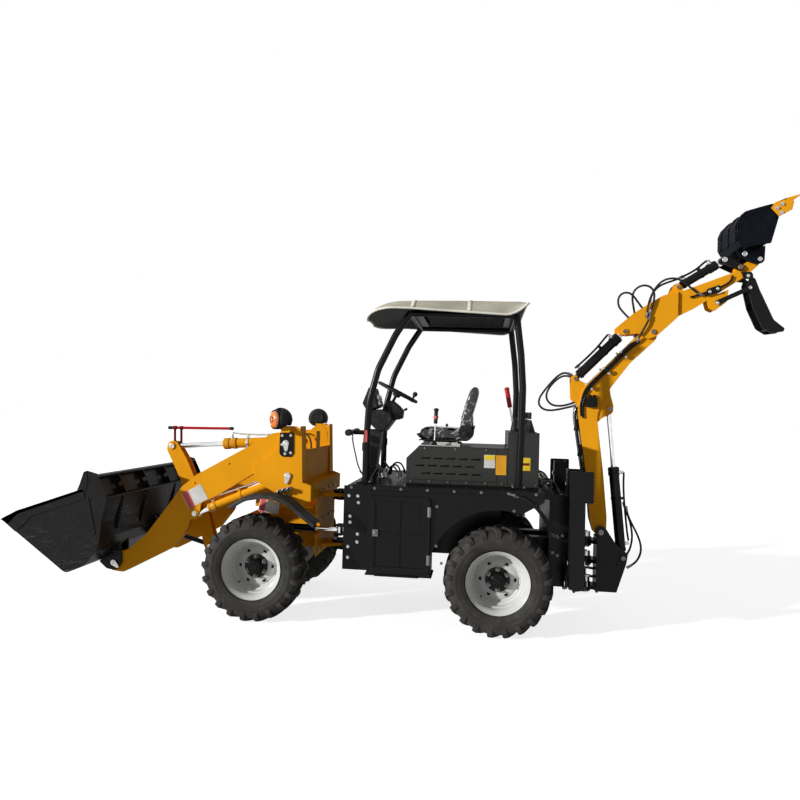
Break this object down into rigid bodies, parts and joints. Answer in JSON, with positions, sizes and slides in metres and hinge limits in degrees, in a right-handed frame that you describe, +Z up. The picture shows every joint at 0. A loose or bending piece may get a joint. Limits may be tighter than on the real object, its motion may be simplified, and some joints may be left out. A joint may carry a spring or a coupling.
{
  "type": "articulated mini backhoe loader",
  "caption": "Compact articulated backhoe loader with front bucket on Z-bar arms, open canopy over the operator, and a swinging rear digging arm with thumb and stabilizers.",
  "frame": {"origin": "on the ground under the middle of the overall length, on the machine's centre plane", "axes": "+X forwards, +Y to the machine's left, +Z up"},
  "size_m": [5.781, 1.652, 3.232],
  "materials": {
    "yellow_paint": "gloss orange-yellow enamel",
    "black_paint": "semi-gloss black enamel",
    "grey_paint": "satin dark grey enamel",
    "wheel_silver": "silver enamel with black hub",
    "tyre_rubber": "matt black rubber, deep lugs",
    "chrome_rod": "polished hard chrome",
    "canopy_grey": "grey moulded fibreglass",
    "black_vinyl": "black vinyl under clear film",
    "black_plastic": "grained black plastic",
    "cast_engine": "painted casting"
  },
  "bodies": {
    "rear_frame": {"rear_chassis": "black_paint", "side_boxes": "black_paint", "rear_axle": "black_paint", "engine_block": "cast_engine", "seat_base": "grey_paint", "operator_seat": "black_vinyl", "steering_wheel": "black_plastic", "dash_column": "black_plastic", "control_levers": "black_plastic", "rops_frame": "black_paint", "canopy": "canopy_grey", "backhoe_frame": "black_paint"},
    "front_frame": {"front_frame": "yellow_paint", "front_axle": "black_paint", "front_fenders": "black_plastic", "turn_lamps": "black_plastic"},
    "loader_arms": {"loader_arms": "yellow_paint"},
    "loader_bucket": {"loader_bucket": "black_paint"},
    "bellcrank": {"bellcrank": "yellow_paint"},
    "bucket_link": {"bucket_link": "black_paint"},
    "lift_barrel": {"lift_barrels": "yellow_paint"},
    "lift_rod": {"lift_rods": "chrome_rod"},
    "tilt_barrel": {"tilt_barrel": "yellow_paint"},
    "tilt_rod": {"tilt_rod": "chrome_rod"},
    "steering_barrel": {"steering_barrel": "black_paint"},
    "steering_rod": {"steering_rod": "chrome_rod"},
    "swing_post": {"swing_post": "black_paint"},
    "swing_barrel": {"swing_barrel": "black_paint"},
    "swing_rod": {"swing_rod": "chrome_rod"},
    "boom": {"boom": "yellow_paint"},
    "boom_barrel": {"boom_barrel": "black_paint"},
    "boom_rod": {"boom_rod": "chrome_rod"},
    "dipper": {"dipper": "yellow_paint", "thumb": "black_paint"},
    "dipper_barrel": {"dipper_barrel": "black_paint"},
    "dipper_rod": {"dipper_rod": "chrome_rod"},
    "curl_barrel": {"curl_barrel": "black_paint"},
    "curl_rod": {"curl_rod": "chrome_rod"},
    "guide_links": {"guide_links": "black_paint"},
    "h_link": {"h_link": "black_paint"},
    "backhoe_bucket": {"backhoe_bucket": "black_paint"},
    "stabilizer_left_barrel": {"stabilizer_barrel_left": "black_paint"},
    "stabilizer_right_barrel": {"stabilizer_barrel_right": "black_paint"},
    "stabilizer_left": {"stabilizer_left": "black_paint"},
    "stabilizer_right": {"stabilizer_right": "black_paint"},
    "stabilizer_left_rod": {"stabilizer_rod_left": "chrome_rod"},
    "stabilizer_right_rod": {"stabilizer_rod_right": "chrome_rod"},
    "wheel_front_left": {"tyre_front_left": "tyre_rubber", "rim_front_left": "wheel_silver"},
    "wheel_front_right": {"tyre_front_right": "tyre_rubber", "rim_front_right": "wheel_silver"},
    "wheel_rear_left": {"tyre_rear_left": "tyre_rubber", "rim_rear_left": "wheel_silver"},
    "wheel_rear_right": {"tyre_rear_right": "tyre_rubber", "rim_rear_right": "wheel_silver"}
  },
  "joints": [
    {"name": "articulation", "type": "hinge", "parent": "rear_frame", "child": "front_frame", "pos_m": [0.5095, 0, 0.68], "axis": [0, 0, 1], "range_deg": [-30, 30]},
    {"name": "wheel_spin_front_left", "type": "hinge", "parent": "front_frame", "child": "wheel_front_left", "pos_m": [1.0295, 0.53, 0.3865], "axis": [0, 1, 0], "continuous": true},
    {"name": "wheel_spin_front_right", "type": "hinge", "parent": "front_frame", "child": "wheel_front_right", "pos_m": [1.0295, -0.53, 0.3865], "axis": [0, 1, 0], "continuous": true},
    {"name": "wheel_spin_rear_left", "type": "hinge", "parent": "rear_frame", "child": "wheel_rear_left", "pos_m": [-0.7605, 0.53, 0.3865], "axis": [0, 1, 0], "continuous": true},
    {"name": "wheel_spin_rear_right", "type": "hinge", "parent": "rear_frame", "child": "wheel_rear_right", "pos_m": [-0.7605, -0.53, 0.3865], "axis": [0, 1, 0], "continuous": true},
    {"name": "steering_barrel_hinge", "type": "hinge", "parent": "front_frame", "child": "steering_barrel", "pos_m": [1.0495, 0.235, 0.64], "axis": [0, 0, 1], "range_deg": [-3.81, 3.81]},
    {"name": "steering_rod_slide", "type": "slide", "parent": "steering_barrel", "child": "steering_rod", "axis": [-0.999, 0.0453, 0], "range_m": [-0.13513, 0.13513]},
    {"name": "arm_lift", "type": "hinge", "parent": "front_frame", "child": "loader_arms", "pos_m": [0.8295, 0, 1.31], "axis": [0, -1, 0], "range_deg": [-9, 75]},
    {"name": "lift_barrel_hinge", "type": "hinge", "parent": "front_frame", "child": "lift_barrel", "pos_m": [0.8095, 0, 1.06], "axis": [0, -1, 0], "range_deg": [-8.96, 70.97]},
    {"name": "lift_rod_slide", "type": "slide", "parent": "lift_barrel", "child": "lift_rod", "axis": [0.9204, 0, -0.3909], "range_m": [-0.03803, 0.30225]},
    {"name": "bucket_tilt", "type": "hinge", "parent": "loader_arms", "child": "loader_bucket", "pos_m": [2.1695, 0, 0.35], "axis": [0, 1, 0], "range_deg": [-5, 90]},
    {"name": "bellcrank_hinge", "type": "hinge", "parent": "loader_arms", "child": "bellcrank", "pos_m": [1.7345, 0, 0.785], "axis": [0, -1, 0], "range_deg": [-2.74, 40.88]},
    {"name": "bucket_link_hinge", "type": "hinge", "parent": "bellcrank", "child": "bucket_link", "pos_m": [1.6045, 0, 0.41], "axis": [0, -1, 0], "range_deg": [-43.53, 2.89]},
    {"name": "tilt_barrel_hinge", "type": "hinge", "parent": "front_frame", "child": "tilt_barrel", "pos_m": [0.8295, 0, 1.31], "axis": [0, -1, 0], "range_deg": [-9.5, 75.5]},
    {"name": "tilt_rod_slide", "type": "slide", "parent": "tilt_barrel", "child": "tilt_rod", "axis": [0.9975, 0, -0.0706], "range_m": [-0.34575, 0.0211]},
    {"name": "backhoe_swing", "type": "hinge", "parent": "rear_frame", "child": "swing_post", "pos_m": [-1.4505, 0, 0.45], "axis": [0, 0, 1], "range_deg": [-65, 65]},
    {"name": "swing_barrel_hinge", "type": "hinge", "parent": "rear_frame", "child": "swing_barrel", "pos_m": [-1.0565, -0.11, 0.34], "axis": [0, 0, 1], "range_deg": [-1.08, 1.08]},
    {"name": "swing_rod_slide", "type": "slide", "parent": "swing_barrel", "child": "swing_rod", "axis": [-0.9987, 0.0507, 0], "range_m": [-0.08093, 0.08093]},
    {"name": "boom_lower", "type": "hinge", "parent": "swing_post", "child": "boom", "pos_m": [-1.5505, 0, 0.68], "axis": [0, -1, 0], "range_deg": [-8, 95]},
    {"name": "boom_barrel_hinge", "type": "hinge", "parent": "swing_post", "child": "boom_barrel", "pos_m": [-1.7205, 0, 0.49], "axis": [0, -1, 0], "range_deg": [-8.08, 90.53]},
    {"name": "boom_rod_slide", "type": "slide", "parent": "boom_barrel", "child": "boom_rod", "axis": [0.1047, 0, 0.9945], "range_m": [-0.36446, 0.03252]},
    {"name": "dipper_crowd", "type": "hinge", "parent": "boom", "child": "dipper", "pos_m": [-1.9105, 0, 2.23], "axis": [0, -1, 0], "range_deg": [-4, 95]},
    {"name": "dipper_barrel_hinge", "type": "hinge", "parent": "boom", "child": "dipper_barrel", "pos_m": [-1.3405, 0, 1.86], "axis": [0, -1, 0], "range_deg": [-0.89, 0.52]},
    {"name": "dipper_rod_slide", "type": "slide", "parent": "dipper_barrel", "child": "dipper_rod", "axis": [-0.6974, 0, 0.7167], "range_m": [-0.01506, 0.31227]},
    {"name": "bucket_curl", "type": "hinge", "parent": "dipper", "child": "backhoe_bucket", "pos_m": [-2.6605, 0, 2.78], "axis": [0, -1, 0], "range_deg": [0, 120]},
    {"name": "guide_link_hinge", "type": "hinge", "parent": "dipper", "child": "guide_links", "pos_m": [-2.5375, 0, 2.727], "axis": [0, -1, 0], "range_deg": [-0.5, 102.1]},
    {"name": "h_link_hinge", "type": "hinge", "parent": "guide_links", "child": "h_link", "pos_m": [-2.4205, 0, 2.783], "axis": [0, -1, 0], "range_deg": [-96.86, 0.5]},
    {"name": "curl_barrel_hinge", "type": "hinge", "parent": "dipper", "child": "curl_barrel", "pos_m": [-2.0955, 0, 2.578], "axis": [0, -1, 0], "range_deg": [-0.5, 5.5]},
    {"name": "curl_rod_slide", "type": "slide", "parent": "curl_barrel", "child": "curl_rod", "axis": [-0.8458, 0, 0.5335], "range_m": [-0.002, 0.20093]},
    {"name": "stabilizer_left_swing", "type": "hinge", "parent": "rear_frame", "child": "stabilizer_left", "pos_m": [-1.2905, 0.61, 0.41], "axis": [-1, 0, 0], "range_deg": [0, 115]},
    {"name": "stabilizer_left_barrel_hinge", "type": "hinge", "parent": "rear_frame", "child": "stabilizer_left_barrel", "pos_m": [-1.2905, 0.43, 1.08], "axis": [-1, 0, 0], "range_deg": [-6.88, 0.5]},
    {"name": "stabilizer_left_rod_slide", "type": "slide", "parent": "stabilizer_left_barrel", "child": "stabilizer_left_rod", "axis": [0, 0.3152, -0.949], "range_m": [-0.002, 0.22612]},
    {"name": "stabilizer_right_swing", "type": "hinge", "parent": "rear_frame", "child": "stabilizer_right", "pos_m": [-1.2905, -0.61, 0.41], "axis": [1, 0, 0], "range_deg": [0, 115]},
    {"name": "stabilizer_right_barrel_hinge", "type": "hinge", "parent": "rear_frame", "child": "stabilizer_right_barrel", "pos_m": [-1.2905, -0.43, 1.08], "axis": [1, 0, 0], "range_deg": [-6.88, 0.5]},
    {"name": "stabilizer_right_rod_slide", "type": "slide", "parent": "stabilizer_right_barrel", "child": "stabilizer_right_rod", "axis": [0, -0.3152, -0.949], "range_m": [-0.002, 0.22612]}
  ],
  "couplings": [
    {"joint": "steering_barrel_hinge", "follows": "articulation", "ratio": -0.1103},
    {"joint": "steering_rod_slide", "follows": "articulation", "m_per_rad": -0.25426},
    {"joint": "lift_barrel_hinge", "follows": "arm_lift", "ratio": 0.93955},
    {"joint": "lift_rod_slide", "follows": "arm_lift", "m_per_rad": 0.22937},
    {"joint": "bellcrank_hinge", "follows": "bucket_tilt", "ratio": 0.44873},
    {"joint": "bucket_link_hinge", "follows": "bucket_tilt", "ratio": -0.47816},
    {"joint": "tilt_barrel_hinge", "follows": "arm_lift", "ratio": 1},
    {"joint": "tilt_rod_slide", "follows": "bucket_tilt", "m_per_rad": -0.21884},
    {"joint": "swing_barrel_hinge", "follows": "backhoe_swing", "ratio": -0.008954},
    {"joint": "swing_rod_slide", "follows": "backhoe_swing", "m_per_rad": -0.069571},
    {"joint": "boom_barrel_hinge", "follows": "boom_lower", "ratio": 0.94763},
    {"joint": "boom_rod_slide", "follows": "boom_lower", "m_per_rad": -0.21861},
    {"joint": "dipper_barrel_hinge", "follows": "dipper_crowd", "ratio": -0.004073},
    {"joint": "dipper_rod_slide", "follows": "dipper_crowd", "m_per_rad": 0.18713},
    {"joint": "guide_link_hinge", "follows": "bucket_curl", "ratio": 0.84665},
    {"joint": "h_link_hinge", "follows": "bucket_curl", "ratio": -0.803},
    {"joint": "curl_barrel_hinge", "follows": "bucket_curl", "ratio": 0.041622},
    {"joint": "curl_rod_slide", "follows": "bucket_curl", "m_per_rad": 0.094981},
    {"joint": "stabilizer_left_barrel_hinge", "follows": "stabilizer_left_swing", "ratio": -0.055489},
    {"joint": "stabilizer_left_rod_slide", "follows": "stabilizer_left_swing", "m_per_rad": 0.11166},
    {"joint": "stabilizer_right_barrel_hinge", "follows": "stabilizer_right_swing", "ratio": -0.055489},
    {"joint": "stabilizer_right_rod_slide", "follows": "stabilizer_right_swing", "m_per_rad": 0.11166}
  ]
}
